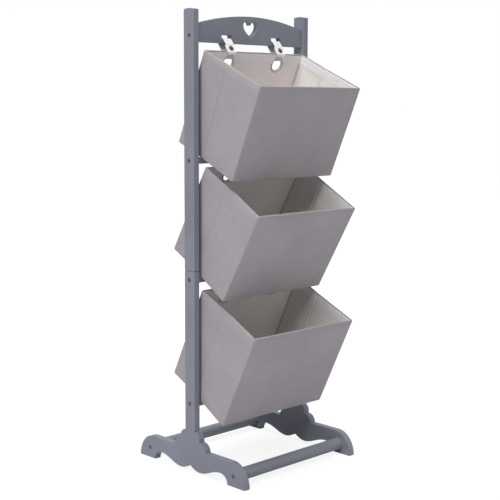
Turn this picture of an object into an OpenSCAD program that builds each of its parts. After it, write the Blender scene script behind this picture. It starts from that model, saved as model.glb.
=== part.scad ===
// Painted nursery rack: two scroll feet, two jointed posts, an arched rail with a heart,
// three slats and two stretchers, with three cloth baskets hung from the rails on straps.
// Millimetres. X runs across the rack, -Y is the front, Z = 0 is the floor.

/* [Frame] */
// Width over the two feet
rack_w = 360; // [330:1:420]
// Height to the crown of the post tops
rack_h = 1028; // [1000:1:1150]
// Thickness of the boards that the feet and posts are cut from
board_t = 16; // [14:0.5:20]

/* [Feet] */
// Length of a foot from front to back
foot_l = 356; // [340:1:420]
// Length of the pad at each end that stands on the floor
pad_l = 54.5; // [48:0.5:60]
// Height of the rounded toe at each end
toe_h = 53.5; // [50:0.5:56]
// Length of the rounded toe at each end
toe_l = 48; // [40:0.5:60]
// Height of the seat under the post
seat_z = 95; // [92:0.5:105]
// Radius of the small scallop beside the post
upper_scallop_r = 15.5; // [12:0.5:16]
// Radius of the large scallop below it
lower_scallop_r = 21; // [18:0.5:24]
// How far the middle of the large scallop lies under the top of the toe
scallop_sink = 1.5; // [0:0.1:4]
// Height of the arch behind each pad
arch_h = 21.3; // [16:0.1:26]
// Half the length of the arch where it springs from the pad
arch_l = 22.5; // [18:0.5:26]
// Gap between the two lower lobes and the floor
lobe_z = 4.2; // [3:0.1:8]
// Distance of each lower lobe from the middle of the foot
lobe_y = 32; // [28:0.5:40]
// Rise of the point between the two lower lobes
cusp_rise = 11.8; // [6:0.1:16]

/* [Posts] */
// Depth of a post from front to back
post_d = 32; // [28:1:40]
// Height of the joint between the lower and the upper post
joint_z = 458; // [452:1:500]
// Radius on the upright edges of a post
post_edge_r = 1.5; // [1:0.5:4]
// Rise of the domed top of a post
dome_rise = 2.5; // [1:0.5:5]
// Bevel round both ends at the post joint
joint_bevel = 1.8; // [1:0.1:2.5]

/* [Arched rail] */
// Thickness of the arched rail and of the slats
slat_t = 14; // [13:0.5:18]
// Height of the underside of the arched rail
arched_z = 957; // [950:1:970]
// Height of the arched rail where it meets a post
arched_end_h = 39; // [34:1:46]
// Height of the arched rail in the middle
arched_crown_h = 61.5; // [58:0.5:70]
// Distance of the fronts of the arched rail and the slats behind the front of the posts
rail_setback = 6; // [3:0.5:8]
// Width of the heart cut-out
heart_w = 46; // [36:1:50]
// Height of the heart cut-out
heart_h = 37; // [30:1:38]
// Height of the heart's point over the underside
heart_lift = 15; // [14:0.5:17]
// Width of each strap slot
slot_w = 30; // [28:1:36]
// Height of each strap slot
slot_h = 9; // [7:0.5:11]
// Height of wood left under each strap slot
slot_web = 9; // [8:0.5:10]

/* [Slats] */
// Depth of a slat from front to back
slat_d = 20; // [18:1:22]
// Height of the middle of the top slat
high_slat_z = 701.5; // [690:0.5:712]
// Height of the middle of the middle slat
middle_slat_z = 438; // [425:1:440]
// Height of the middle of the bottom slat
low_slat_z = 157; // [150:1:175]
// Radius on the long edges of a slat
slat_edge_r = 2; // [1:0.5:3]

/* [Stretchers] */
// Diameter of the two round stretchers between the feet
stretcher_d = 28; // [22:1:30]
// Height of the middle of a stretcher
stretcher_z = 23.5; // [18:0.5:28]
// Distance of each stretcher from the middle of the foot
stretcher_y = 142.3; // [138:0.1:148]

/* [Baskets] */
// Depth of a basket from its back panel to its front panel
basket_d = 197; // [180:1:205]
// Height of the top basket's walls
top_wall_h = 213; // [200:1:225]
// Height of the middle basket's walls
middle_wall_h = 217; // [205:1:225]
// Height of the bottom basket's walls
low_wall_h = 228; // [210:1:230]
// Gap between a basket and the post on each side of it
basket_gap = 10.5; // [6:0.5:14]
// Radius of the upright corners of a basket
corner_r = 7; // [5:0.5:12]
// Thickness of the outer cloth
cover_t = 1; // [0.8:0.1:1.4]
// Thickness of the pocket that holds the stiffening boards
pocket_t = 2; // [1.6:0.1:3]
// Thickness of the lining
lining_t = 1; // [0.8:0.1:1.4]
// Depth of the lining's hem below the rim
hem_d = 22; // [18:1:30]
// How much further the doubled cloth of the hem stands in than the rest of the lining
hem_step = 0.3; // [0.1:0.1:0.5]
// Thickness of the folded cloth along the rim
rim_t = 1.4; // [1:0.1:2.5]
// Thickness of the stiffening board in the base
base_t = 2.5; // [2:0.1:4]
// How far the fold in each side panel is drawn in
crease_in = 3; // [0:0.5:6]
// Gap between the two boards on either side of the fold
crease_gap = 3; // [2:0.5:6]
// Tilt of the top basket
top_tilt = 23.2; // [20:0.1:26]
// Tilt of the middle basket
middle_tilt = 29.8; // [26:0.1:31]
// Tilt of the bottom basket
low_tilt = 25.6; // [24:0.1:30]
// How far the top basket's rim stands out in front of the arched rail
top_lead = 10; // [7:0.5:12]
// How far the middle basket's rim stands out in front of the slat above it
middle_lead = 15; // [12:0.5:17]
// How far the bottom basket's rim stands out in front of the slat above it
low_lead = 3; // [3:0.5:8]

/* [Straps] */
// Width of the webbing
strap_w = 24; // [20:1:26]
// Width of the webbing where it is gathered through an eyelet
strap_gathered_w = 16; // [14:1:18]
// Thickness of the webbing
strap_t = 1.6; // [1.2:0.1:2]
// Distance of each strap from the middle of the rack
strap_x = 77; // [60:1:100]
// Length of the overlap where the two ends are pressed together
overlap_l = 19; // [16:1:21]
// Distance of the stud from the lower end of the overlap
stud_drop = 9.5; // [8:0.5:11]
// How far the tail hangs below the rim
tail_l = 4; // [4:0.5:9]

/* [Eyelets] */
// Bore of an eyelet
eyelet_bore = 27; // [24:1:30]
// Radius of the rolled edge of an eyelet
roll_r = 3.2; // [3:0.1:3.6]
// Distance of an eyelet's middle below the rim
eyelet_drop = 24; // [22:1:28]

/* [Fasteners] */
// Shank diameter of the bolts
bolt_d = 6; // [5:1:6]
// Head diameter of the bolts
bolt_head_d = 10; // [9:0.5:11]
// Height of a bolt's head
bolt_head_h = 4; // [3:0.5:5]
// Shank length of the bolts
bolt_l = 50; // [46:1:60]
// Width across the flats of the socket in a bolt's head
hex_socket = 4; // [3:0.5:5]
// Depth of the socket in a bolt's head
hex_depth = 2.4; // [2:0.1:3]
// Depth that a bolt's head sits below the wood
head_sink = 1.2; // [0.5:0.1:2]
// Diameter of the barrel nuts
nut_d = 10; // [9:0.5:10]
// Length of the barrel nuts
nut_l = 11; // [10:0.5:12]
// Distance of a barrel nut from the end of its rail
nut_inset = 30; // [26:1:34]
// Diameter of the wooden dowels in the posts
dowel_d = 8; // [6:0.5:9]
// Length of the wooden dowels
dowel_l = 56; // [40:1:64]
// Distance of each dowel from the middle of the post
dowel_y = 8.5; // [7:0.5:9]
// Cap diameter of the press studs
stud_cap_d = 13; // [10:0.5:14]
// Cap height of the press studs
stud_cap_h = 2.4; // [1.6:0.1:3]
// Diameter of the socket ring behind a press stud
stud_ring_d = 10; // [8:0.5:11]
// Height of the socket ring behind a press stud
stud_ring_h = 1.8; // [1.2:0.1:2.4]
// Diameter of the press stud's stem
stud_stem_d = 4; // [3:0.5:5]

/* [Clearances] */
// Gap at every seat between cloth, straps and wood
seat_gap = 0.3; // [0.2:0.05:0.4]
// Gap round a bolt or nut in its bore, on the radius
bore_gap = 0.2; // [0.1:0.05:0.3]
// Gap between a stiffening board and the cloth on each side of it
board_gap = 0.1; // [0.05:0.05:0.2]
// Gap between the two layers where a strap overlaps
layer_gap = 0.1; // [0.05:0.05:0.2]

/* [Hidden] */
// How far a cut runs past the face that it opens
overrun = 1;
// Lead of the two halves of a ribbon into each other, so that they join
ribbon_lead = 0.8;

post_in = rack_w / 2 - board_t;
rail_len = 2 * post_in;
foot_half = foot_l / 2;

slat_z = [high_slat_z, middle_slat_z, low_slat_z];
rail_front = rail_setback - post_d / 2;
arched_mid_y = rail_front + slat_t / 2;
slat_mid_y = rail_front + slat_d / 2;
arched_bolt_z = arched_z + slot_web + slot_h / 2;
slot_z = arched_z + slot_web;

basket_w = rack_w - 2 * board_t - 2 * basket_gap;
wall_t = cover_t + pocket_t + lining_t;
// Where the cover meets the lining's hem on the rim, in from the outside
rim_seam = cover_t + pocket_t / 2;
tilt = [top_tilt, middle_tilt, low_tilt];
wall_h = [top_wall_h, middle_wall_h, low_wall_h];
rim_y = [rail_front - top_lead, rail_front - middle_lead, rail_front - low_lead];
// Place of the fold in a side panel, as a share of the basket's depth from its back
crease_share = 0.4;
// Smallest radius inside a basket's corner, as a share of the outer one
inner_corner_share = 0.3;
// Corner radius of a strap slot, as a share of its height
slot_corner_share = 1 / 3;
// How far the tail bows off the inner layer half way along, as a share of one layer
tail_bow_share = 0.25;

// The bar that each pair of straps is wrapped round: [front, back, bottom, top], and the radius of its edges
bars = [
    [rail_front, rail_front + slat_t, arched_z, slot_z],
    [rail_front, rail_front + slat_d, slat_z[0] - slat_t / 2, slat_z[0] + slat_t / 2],
    [rail_front, rail_front + slat_d, slat_z[1] - slat_t / 2, slat_z[1] + slat_t / 2]
];
bar_edge_r = [0, slat_edge_r, slat_edge_r];

// A basket leans on the slat below it, or on the straps of the next basket where they cross that slat.
strapped_share = [1, 1, 0];
lean_r = [for (i = [0:2]) slat_edge_r + seat_gap + strapped_share[i] * (strap_t + seat_gap)];
lean = [for (i = [0:2]) lean_r[i]
    - (rail_front + slat_edge_r) * sin(tilt[i])
    + (slat_z[i] + slat_t / 2 - slat_edge_r) * cos(tilt[i])];
rim_z = [for (i = [0:2]) (wall_h[i] + lean[i] + rim_y[i] * sin(tilt[i])) / cos(tilt[i])];

// A basket turns about the rolled edge of its eyelets, where the straps bear.
eyelet_r = eyelet_bore / 2;
bear_rise = sqrt(pow(eyelet_r, 2) - pow(strap_gathered_w / 2, 2));
pivot_drop = eyelet_drop - bear_rise - roll_r;
bend_r = roll_r + seat_gap;

// Point in the rack's YZ plane of a point given by its distance out from a basket's back and down from its rim
function on_basket(i, out, down) = [
    rim_y[i] - out * cos(tilt[i]) + down * sin(tilt[i]),
    rim_z[i] - out * sin(tilt[i]) - down * cos(tilt[i])
];
function pivot(i) = on_basket(i, wall_t / 2, pivot_drop);

// The rack is built round the middle of its feet, then moved so that the whole part is centred on Y = 0.
front_y = min([for (i = [0:2]) on_basket(i, basket_d, 0)[0]]);
middle_y = (foot_half + front_y) / 2;
module placed() translate([0, -middle_y, 0]) children();

// Points on an ellipse round [cx, cy] from angle a to angle b in n steps
function arc(cx, cy, rx, ry, a, b, n) =
    [for (k = [0:n]) let (t = a + (b - a) * k / n) [cx + rx * cos(t), cy + ry * sin(t)]];
function flip(pts) = [for (k = [len(pts) - 1:-1:0]) [-pts[k][0], pts[k][1]]];
function unit(v) = v / norm(v);
function side(v) = [-v[1], v[0]];

// Feet

// Underside of half a foot, from the middle out to the pad
arch_mid = foot_half - pad_l - arch_l;
under_lobe = [for (k = [0:8]) let (s = k / 8)
    [lobe_y * s, lobe_z + cusp_rise * pow(1 - s, 2)]];
under_sweep = [for (k = [1:12]) let (s = k / 12)
    [lobe_y + (arch_mid - lobe_y) * s, lobe_z + (arch_h - lobe_z) * (1 - cos(180 * s)) / 2]];
under_arch = [for (k = [1:10]) let (t = 90 - 9 * k)
    [arch_mid + arch_l * cos(t), arch_h * sin(t)]];
toe = arc(foot_half - toe_l, 0, toe_l, toe_h, 0, 90, 18);
lower_scallop = arc(post_d / 2 + upper_scallop_r, toe_h - scallop_sink,
    lower_scallop_r, lower_scallop_r, asin(scallop_sink / lower_scallop_r), 90, 12);
upper_scallop = arc(post_d / 2, seat_z - upper_scallop_r, upper_scallop_r, upper_scallop_r, 0, 90, 10);
half_foot = concat(under_lobe, under_sweep, under_arch, toe, lower_scallop, upper_scallop);

module foot_profile() {
    polygon(concat(half_foot, flip(half_foot)));
}

module foot(s) {
    color("#7d7e88")
    difference() {
        translate([s > 0 ? post_in : -rack_w / 2, 0, 0])
            rotate([90, 0, 90]) linear_extrude(board_t) foot_profile();
        for (y = [-stretcher_y, stretcher_y])
            translate([0, y, stretcher_z]) bolt_bore(s);
        dowel_bores(s, seat_z);
    }
}

// Posts

module post_section(h) {
    w = board_t / 2 - post_edge_r;
    d = post_d / 2 - post_edge_r;
    linear_extrude(h) union() {
        square([board_t - 2 * post_edge_r, post_d], center = true);
        square([board_t, post_d - 2 * post_edge_r], center = true);
        for (x = [-w, w], y = [-d, d]) translate([x, y]) circle(post_edge_r, $fn = 32);
    }
}

// Bevel cutters round the end of a post at height zero
module end_bevels() {
    reach = board_t + post_d;
    for (s = [-1, 1]) {
        translate([s * board_t / 2, 0, 0]) rotate([0, 45, 0])
            cube([joint_bevel * sqrt(2), reach, joint_bevel * sqrt(2)], center = true);
        translate([0, s * post_d / 2, 0]) rotate([45, 0, 0])
            cube([reach, joint_bevel * sqrt(2), joint_bevel * sqrt(2)], center = true);
    }
}

module at_post(s) translate([s * (rack_w / 2 - board_t / 2), 0, 0]) children();

module lower_post(s) {
    color("#84858f")
    difference() {
        at_post(s) translate([0, 0, seat_z]) post_section(joint_z - seat_z);
        at_post(s) translate([0, 0, joint_z]) end_bevels();
        for (z = [middle_slat_z, low_slat_z]) translate([0, slat_mid_y, z]) bolt_bore(s);
        dowel_bores(s, seat_z);
        dowel_bores(s, joint_z);
    }
}

module upper_post(s) {
    dome_r = (pow(post_d / 2, 2) + pow(dome_rise, 2)) / (2 * dome_rise);
    color("#84858f")
    difference() {
        intersection() {
            at_post(s) translate([0, 0, joint_z]) post_section(rack_h - joint_z);
            at_post(s) translate([0, 0, rack_h - dome_r]) rotate([0, 90, 0]) union() {
                cylinder(h = 2 * board_t, r = dome_r, center = true, $fn = 96);
                translate([(rack_h - joint_z) / 2, 0, 0])
                    cube([rack_h - joint_z, 2 * post_d, 2 * board_t], center = true);
            }
        }
        at_post(s) translate([0, 0, joint_z]) end_bevels();
        translate([0, slat_mid_y, high_slat_z]) bolt_bore(s);
        translate([0, arched_mid_y, arched_bolt_z]) bolt_bore(s);
        dowel_bores(s, joint_z);
    }
}

// Dowels

// Children at the two dowels of a post
module at_dowels(s) {
    for (y = [-dowel_y, dowel_y]) at_post(s) translate([0, y, 0]) children();
}

module dowel_bores(s, z) {
    at_dowels(s) translate([0, 0, z])
        cylinder(h = dowel_l + 2 * bore_gap, d = dowel_d + 2 * bore_gap, center = true, $fn = 32);
}

module dowels(z) {
    color("#c9a877")
    for (s = [-1, 1]) at_dowels(s) translate([0, 0, z])
        cylinder(h = dowel_l, d = dowel_d, center = true, $fn = 32);
}

// Arched rail

module arched_profile() {
    half = rail_len / 2;
    sag = arched_crown_h - arched_end_h;
    r = (pow(half, 2) + pow(sag, 2)) / (2 * sag);
    intersection() {
        translate([-half, 0]) square([rail_len, arched_crown_h]);
        translate([0, arched_crown_h - r]) circle(r, $fn = 240);
    }
}

// One half of a heart that is one unit wide and one unit high, with its point at the origin
heart_side_share = [for (k = [0:14]) let (t = 180 * k / 14)
    [pow(sin(t), 3) / 2,
     (13 * cos(t) - 5 * cos(2 * t) - 2 * cos(3 * t) - cos(4 * t) + 17) / 28.9]];

module heart() {
    pts = [for (p = heart_side_share) [p[0] * heart_w, p[1] * heart_h]];
    inner = [for (k = [len(pts) - 2:-1:1]) [-pts[k][0], pts[k][1]]];
    polygon(concat(pts, inner));
}

module slot_shape() {
    r = slot_h * slot_corner_share;
    translate([-slot_w / 2, r]) square([slot_w, slot_h - 2 * r]);
    translate([-slot_w / 2 + r, 0]) square([slot_w - 2 * r, slot_h]);
    for (x = [-1, 1], z = [r, slot_h - r]) translate([x * (slot_w / 2 - r), z]) circle(r, $fn = 32);
}

module arched_rail() {
    color("#6b6c76")
    difference() {
        translate([0, rail_front + slat_t, arched_z]) rotate([90, 0, 0])
            linear_extrude(slat_t) difference() {
                arched_profile();
                translate([0, heart_lift]) heart();
                for (x = [-strap_x, strap_x]) translate([x, slot_web]) slot_shape();
            }
        for (s = [-1, 1]) translate([0, arched_mid_y, arched_bolt_z]) {
            bolt_bore(s);
            translate([s * (rail_len / 2 - nut_inset), 0, 0]) rotate([-90, 0, 0])
                nut_bore(slat_t / 2);
        }
    }
}

// Slats

module slat_section() {
    y = slat_d / 2 - slat_edge_r;
    z = slat_t / 2 - slat_edge_r;
    square([slat_d - 2 * slat_edge_r, slat_t], center = true);
    square([slat_d, slat_t - 2 * slat_edge_r], center = true);
    for (a = [-y, y], b = [-z, z]) translate([a, b]) circle(slat_edge_r, $fn = 32);
}

module slat(z) {
    color("#6b6c76")
    difference() {
        translate([-rail_len / 2, slat_mid_y, z]) rotate([90, 0, 90])
            linear_extrude(rail_len) slat_section();
        for (s = [-1, 1]) translate([0, slat_mid_y, z]) {
            bolt_bore(s);
            translate([s * (rail_len / 2 - nut_inset), 0, 0]) rotate([180, 0, 0]) nut_bore(slat_t / 2);
        }
    }
}

// Stretchers

module stretcher(y) {
    color("#74757f")
    difference() {
        translate([-rail_len / 2, y, stretcher_z]) rotate([0, 90, 0])
            cylinder(h = rail_len, d = stretcher_d, $fn = 64);
        for (s = [-1, 1]) translate([0, y, stretcher_z]) {
            bolt_bore(s);
            translate([s * (rail_len / 2 - nut_inset), 0, 0]) rotate([180, 0, 0])
                nut_bore(stretcher_d / 2);
        }
    }
}

// Bolts and barrel nuts

// Place of a bolt's head, with +X pointing out of the wood
module at_bolt(s) rotate([0, 0, s > 0 ? 0 : 180]) translate([rack_w / 2 - head_sink, 0, 0]) children();

module bolt_bore(s) {
    at_bolt(s) rotate([0, -90, 0]) {
        translate([0, 0, -head_sink - overrun])
            cylinder(h = head_sink + overrun + bolt_head_h, d = bolt_head_d + 2 * bore_gap, $fn = 32);
        cylinder(h = bolt_head_h + bolt_l + overrun, d = bolt_d + 2 * bore_gap, $fn = 32);
    }
}

module bolt(s) {
    at_bolt(s) rotate([0, -90, 0]) difference() {
        union() {
            cylinder(h = bolt_head_h, d = bolt_head_d, $fn = 32);
            cylinder(h = bolt_head_h + bolt_l, d = bolt_d, $fn = 32);
        }
        translate([0, 0, -overrun]) cylinder(h = hex_depth + overrun, d = hex_socket / cos(30), $fn = 6);
    }
}

// Bore for a barrel nut, from the middle of the wood out to the face above it
module nut_bore(to_face) {
    translate([0, 0, -nut_l / 2 - bore_gap])
        cylinder(h = to_face + overrun + nut_l / 2 + bore_gap, d = nut_d + 2 * bore_gap, $fn = 32);
}

module barrel_nut() {
    difference() {
        cylinder(h = nut_l, d = nut_d, center = true, $fn = 32);
        rotate([0, 90, 0]) cylinder(h = nut_d + 2 * overrun, d = bolt_d + bore_gap, center = true, $fn = 32);
    }
}

module rail_bolts() {
    color("#8a8d92")
    for (s = [-1, 1]) {
        translate([0, arched_mid_y, arched_bolt_z]) bolt(s);
        for (z = slat_z) translate([0, slat_mid_y, z]) bolt(s);
    }
}

module rail_nuts() {
    color("#8a8d92")
    for (s = [-1, 1]) {
        translate([s * (rail_len / 2 - nut_inset), arched_mid_y, arched_bolt_z]) rotate([-90, 0, 0]) barrel_nut();
        for (z = slat_z) translate([s * (rail_len / 2 - nut_inset), slat_mid_y, z]) barrel_nut();
    }
}

module stretcher_bolts() {
    color("#8a8d92")
    for (s = [-1, 1], y = [-stretcher_y, stretcher_y]) translate([0, y, stretcher_z]) bolt(s);
}

module stretcher_nuts() {
    color("#8a8d92")
    for (s = [-1, 1], y = [-stretcher_y, stretcher_y])
        translate([s * (rail_len / 2 - nut_inset), y, stretcher_z]) barrel_nut();
}

// Baskets, each built upright with its back at Y = 0 and its rim at Z = 0

module hung(i) translate([0, rim_y[i], rim_z[i]]) rotate([tilt[i], 0, 0]) children();

// Plan of a basket, drawn in by a distance, with the folded side panels
function plan(inset) = let (
    r = max(corner_r - inset, corner_r * inner_corner_share),
    x = basket_w / 2 - inset,
    back = -inset,
    front = inset - basket_d,
    fold = -basket_d * crease_share)
    concat(
        arc(x - r, back - r, r, r, 0, 90, 6),
        arc(r - x, back - r, r, r, 90, 180, 6),
        [[crease_in - x, fold]],
        arc(r - x, front + r, r, r, 180, 270, 6),
        arc(x - r, front + r, r, r, 270, 360, 6),
        [[x - crease_in, fold]]);

module ring_plan(outer, inner) {
    difference() {
        polygon(plan(outer));
        polygon(plan(inner));
    }
}

module at_eyelets() {
    for (x = [-strap_x, strap_x])
        translate([x, -wall_t / 2, -eyelet_drop]) rotate([90, 0, 0]) children();
}

// Holes that let the rolled eyelets grip the cloth up to the middle of their roll
module eyelet_holes() {
    at_eyelets() cylinder(h = wall_t + 2 * overrun, r = eyelet_r + roll_r + board_gap, center = true, $fn = 64);
}

module basket_cover(i) {
    color("#a09ba0")
    hung(i) difference() {
        translate([0, 0, -wall_h[i]]) linear_extrude(wall_h[i]) polygon(plan(0));
        translate([0, 0, cover_t - wall_h[i]])
            linear_extrude(wall_h[i] - cover_t - rim_t) polygon(plan(cover_t));
        translate([0, 0, -rim_t - overrun]) linear_extrude(rim_t + 2 * overrun) polygon(plan(rim_seam));
        eyelet_holes();
    }
}

lining_floor = cover_t + base_t + 2 * board_gap;

module basket_lining(i) {
    color("#cdc8c8")
    hung(i) difference() {
        union() {
            translate([0, 0, lining_floor - wall_h[i]])
                linear_extrude(wall_h[i] - lining_floor) polygon(plan(wall_t - lining_t));
            translate([0, 0, -rim_t]) linear_extrude(rim_t) polygon(plan(rim_seam + board_gap));
        }
        translate([0, 0, lining_floor + lining_t - wall_h[i]])
            linear_extrude(wall_h[i] - lining_floor - lining_t - hem_d) polygon(plan(wall_t - hem_step));
        translate([0, 0, -hem_d - overrun]) linear_extrude(hem_d + 2 * overrun) polygon(plan(wall_t));
        eyelet_holes();
    }
}

module base_board(i) {
    color("#b59a72")
    hung(i) translate([0, 0, cover_t + board_gap - wall_h[i]])
        linear_extrude(base_t) polygon(plan(cover_t + board_gap));
}

// A stiffening board: the stretch of the pocket that lies inside a rectangle of the plan
module wall_board(i, from, to) {
    translate([0, 0, lining_floor - wall_h[i]]) linear_extrude(wall_h[i] - lining_floor - rim_t - board_gap)
        intersection() {
            ring_plan(cover_t + board_gap, cover_t + pocket_t - board_gap);
            translate(from) square(to - from);
        }
}

module front_board(i) {
    color("#b59a72")
    hung(i) wall_board(i, [corner_r - basket_w / 2, -basket_d], [basket_w / 2 - corner_r, -basket_d + wall_t]);
}

module back_board(i) {
    color("#b59a72")
    hung(i) difference() {
        wall_board(i, [corner_r - basket_w / 2, -wall_t], [basket_w / 2 - corner_r, 0]);
        eyelet_holes();
    }
}

module side_boards(i) {
    fold = -basket_d * crease_share;
    reach = wall_t + crease_in;
    color("#b59a72")
    hung(i) for (s = [-1, 1]) {
        x = s > 0 ? basket_w / 2 - reach : -basket_w / 2;
        wall_board(i, [x, fold + crease_gap / 2], [x + reach, -corner_r]);
        wall_board(i, [x, corner_r - basket_d], [x + reach, fold - crease_gap / 2]);
    }
}

// Eyelets: a rolled ring that passes through the wall, closed by a lip on the outside

module roll() {
    rotate_extrude($fn = 64) translate([eyelet_r + roll_r, 0]) circle(roll_r, $fn = 32);
}

// The layer of the roll that lies outside the back panel, or all the rest of it
module outside_of_back() {
    translate([0, 0, -wall_t / 2 - roll_r]) cylinder(h = roll_r, r = eyelet_r + 3 * roll_r, $fn = 64);
}

module grip_groove() {
    difference() {
        cylinder(h = wall_t, r = eyelet_r + 3 * roll_r, center = true, $fn = 64);
        cylinder(h = wall_t + 2 * overrun, r = eyelet_r + roll_r, center = true, $fn = 64);
    }
}

module basket_eyelets(i) {
    color("#6f6a6b")
    hung(i) at_eyelets() difference() {
        roll();
        grip_groove();
        outside_of_back();
    }
}

module eyelet_lips(i) {
    color("#6f6a6b")
    hung(i) at_eyelets() intersection() {
        roll();
        outside_of_back();
    }
}

// Straps: each runs round its bar, down through an eyelet and back up to the overlap in front

// Round a bar's corner, as a stretch of the strap's middle line
function bar_corner(i, sy, sz, a0, a1) = let (b = bars[i], r = bar_edge_r[i], h = r + seat_gap + strap_t / 2)
    arc(b[sy > 0 ? 1 : 0] - sy * r, b[sz > 0 ? 3 : 2] - sz * r, h, h, a0, a1, 4);

// Middle of the strap on top of the bar, moved along by a distance
function on_bar(i, y) = let (b = bars[i]) [(b[0] + b[1]) / 2 + y, b[3] + seat_gap + strap_t / 2];

// Middle of the strap over the rim, and the direction from there to the bar
function over_rim(i) = on_basket(i, wall_t / 2 + bend_r + strap_t, -strap_t);
function bar_front(i) = bar_corner(i, -1, 1, 90, 180)[3];
function tail_dir(i) = unit(bar_front(i) - over_rim(i));

// The tail lies over the inner end, one layer further out
function tail_out(i) = side(tail_dir(i)) * (strap_t + layer_gap);
function inner_end(i) = over_rim(i) + tail_dir(i) * overlap_l;

function loop_path(i) = let (c = pivot(i), r = bend_r + strap_t / 2, up = 90 + tilt[i])
    concat(
        [inner_end(i), over_rim(i)],
        arc(c[0], c[1], r, r, up + 90, up + 225, 8),
        bar_corner(i, 1, -1, -45, 0),
        bar_corner(i, 1, 1, 0, 90),
        [on_bar(i, -ribbon_lead)]);

function tail_path(i) = let (out = tail_out(i), at_rim = over_rim(i) + out)
    concat(
        [on_bar(i, ribbon_lead)],
        [for (k = [0:2]) bar_corner(i, -1, 1, 90, 180)[k]],
        [(bar_front(i) + at_rim) / 2 + out * tail_bow_share, at_rim],
        [on_basket(i, wall_t / 2 + bend_r + 2 * strap_t + layer_gap, tail_l)]);

// A flat band of the webbing's thickness along a path in the YZ plane
function band(path) = let (m = len(path) - 1)
    [for (k = [0:m]) let (
        a = path[max(k - 1, 0)],
        c = path[min(k + 1, m)],
        d = side(unit(c - a)) * strap_t / 2)
        [path[k] + d, path[k] - d]];

module ribbon(path, w) {
    pairs = band(path);
    left = [for (p = pairs) p[0]];
    right = [for (k = [len(pairs) - 1:-1:0]) pairs[k][1]];
    translate([-w / 2, 0, 0]) rotate([90, 0, 90]) linear_extrude(w) polygon(concat(left, right));
}

// Front view of a strap, gathered in where it enters the eyelet
module gather(i) {
    top = bars[i][3] + strap_t * 2;
    full = pivot(i)[1] + bend_r;
    low = pivot(i)[1] - bend_r - 2 * strap_t;
    depth = rack_w / 2;
    translate([0, depth / 2, 0]) rotate([90, 0, 0]) linear_extrude(depth)
        polygon([[strap_w / 2, top], [-strap_w / 2, top], [-strap_w / 2, full + strap_t],
            [-strap_gathered_w / 2, pivot(i)[1]], [-strap_gathered_w / 2, low],
            [strap_gathered_w / 2, low], [strap_gathered_w / 2, pivot(i)[1]],
            [strap_w / 2, full + strap_t]]);
}

// Frame of a press stud: origin on the inner layer's inner face, +Z out through both layers
module at_stud(i) {
    base = over_rim(i) + tail_dir(i) * stud_drop - side(tail_dir(i)) * strap_t / 2;
    d = side(tail_dir(i));
    a = atan2(d[1], d[0]);
    translate([0, base[0], base[1]]) rotate([a - 90, 0, 0]) children();
}

module both_straps() {
    for (x = [-strap_x, strap_x]) translate([x, 0, 0]) children();
}

module straps(i) {
    color("#f0eef0")
    both_straps() difference() {
        union() {
            intersection() {
                ribbon(loop_path(i), strap_w);
                gather(i);
            }
            ribbon(tail_path(i), strap_w);
        }
        at_stud(i) cylinder(h = 8 * strap_t, d = stud_stem_d + bore_gap, center = true, $fn = 24);
    }
}

stud_stack = 2 * strap_t + layer_gap;

module stud_caps(i) {
    cap_r = (pow(stud_cap_d / 2, 2) + pow(stud_cap_h, 2)) / (2 * stud_cap_h);
    color("#5a504c")
    both_straps() at_stud(i) translate([0, 0, stud_stack + board_gap]) {
        intersection() {
            cylinder(h = stud_cap_h, d = stud_cap_d, $fn = 48);
            translate([0, 0, stud_cap_h - cap_r]) sphere(r = cap_r, $fn = 96);
        }
        translate([0, 0, -stud_stack - stud_ring_h / 2])
            cylinder(h = stud_stack + stud_ring_h / 2 + overrun / 2, d = stud_stem_d, $fn = 24);
    }
}

module stud_rings(i) {
    color("#5a504c")
    both_straps() at_stud(i) translate([0, 0, -stud_ring_h - board_gap]) difference() {
        cylinder(h = stud_ring_h, d = stud_ring_d, $fn = 48);
        translate([0, 0, -overrun])
            cylinder(h = stud_ring_h + 2 * overrun, d = stud_stem_d + bore_gap, $fn = 24);
    }
}

placed() foot(-1);  // left_foot
placed() foot(1);  // right_foot
placed() lower_post(-1);  // left_lower_post
placed() lower_post(1);  // right_lower_post
placed() upper_post(-1);  // left_upper_post
placed() upper_post(1);  // right_upper_post
placed() dowels(seat_z);  // foot_dowels
placed() dowels(joint_z);  // joint_dowels
placed() arched_rail();
placed() slat(high_slat_z);  // high_slat
placed() slat(middle_slat_z);  // middle_slat
placed() slat(low_slat_z);  // low_slat
placed() stretcher(-stretcher_y);  // front_stretcher
placed() stretcher(stretcher_y);  // rear_stretcher
placed() rail_bolts();
placed() rail_nuts();
placed() stretcher_bolts();
placed() stretcher_nuts();
placed() basket_cover(0);  // top_cover
placed() basket_lining(0);  // top_lining
placed() base_board(0);  // top_base_board
placed() front_board(0);  // top_front_board
placed() back_board(0);  // top_back_board
placed() side_boards(0);  // top_side_boards
placed() basket_eyelets(0);  // top_eyelets
placed() eyelet_lips(0);  // top_eyelet_lips
placed() straps(0);  // top_straps
placed() stud_caps(0);  // top_stud_caps
placed() stud_rings(0);  // top_stud_rings
placed() basket_cover(1);  // middle_cover
placed() basket_lining(1);  // middle_lining
placed() base_board(1);  // middle_base_board
placed() front_board(1);  // middle_front_board
placed() back_board(1);  // middle_back_board
placed() side_boards(1);  // middle_side_boards
placed() basket_eyelets(1);  // middle_eyelets
placed() eyelet_lips(1);  // middle_eyelet_lips
placed() straps(1);  // middle_straps
placed() stud_caps(1);  // middle_stud_caps
placed() stud_rings(1);  // middle_stud_rings
placed() basket_cover(2);  // bottom_cover
placed() basket_lining(2);  // bottom_lining
placed() base_board(2);  // bottom_base_board
placed() front_board(2);  // bottom_front_board
placed() back_board(2);  // bottom_back_board
placed() side_boards(2);  // bottom_side_boards
placed() basket_eyelets(2);  // bottom_eyelets
placed() eyelet_lips(2);  // bottom_eyelet_lips
placed() straps(2);  // bottom_straps
placed() stud_caps(2);  // bottom_stud_caps
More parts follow.
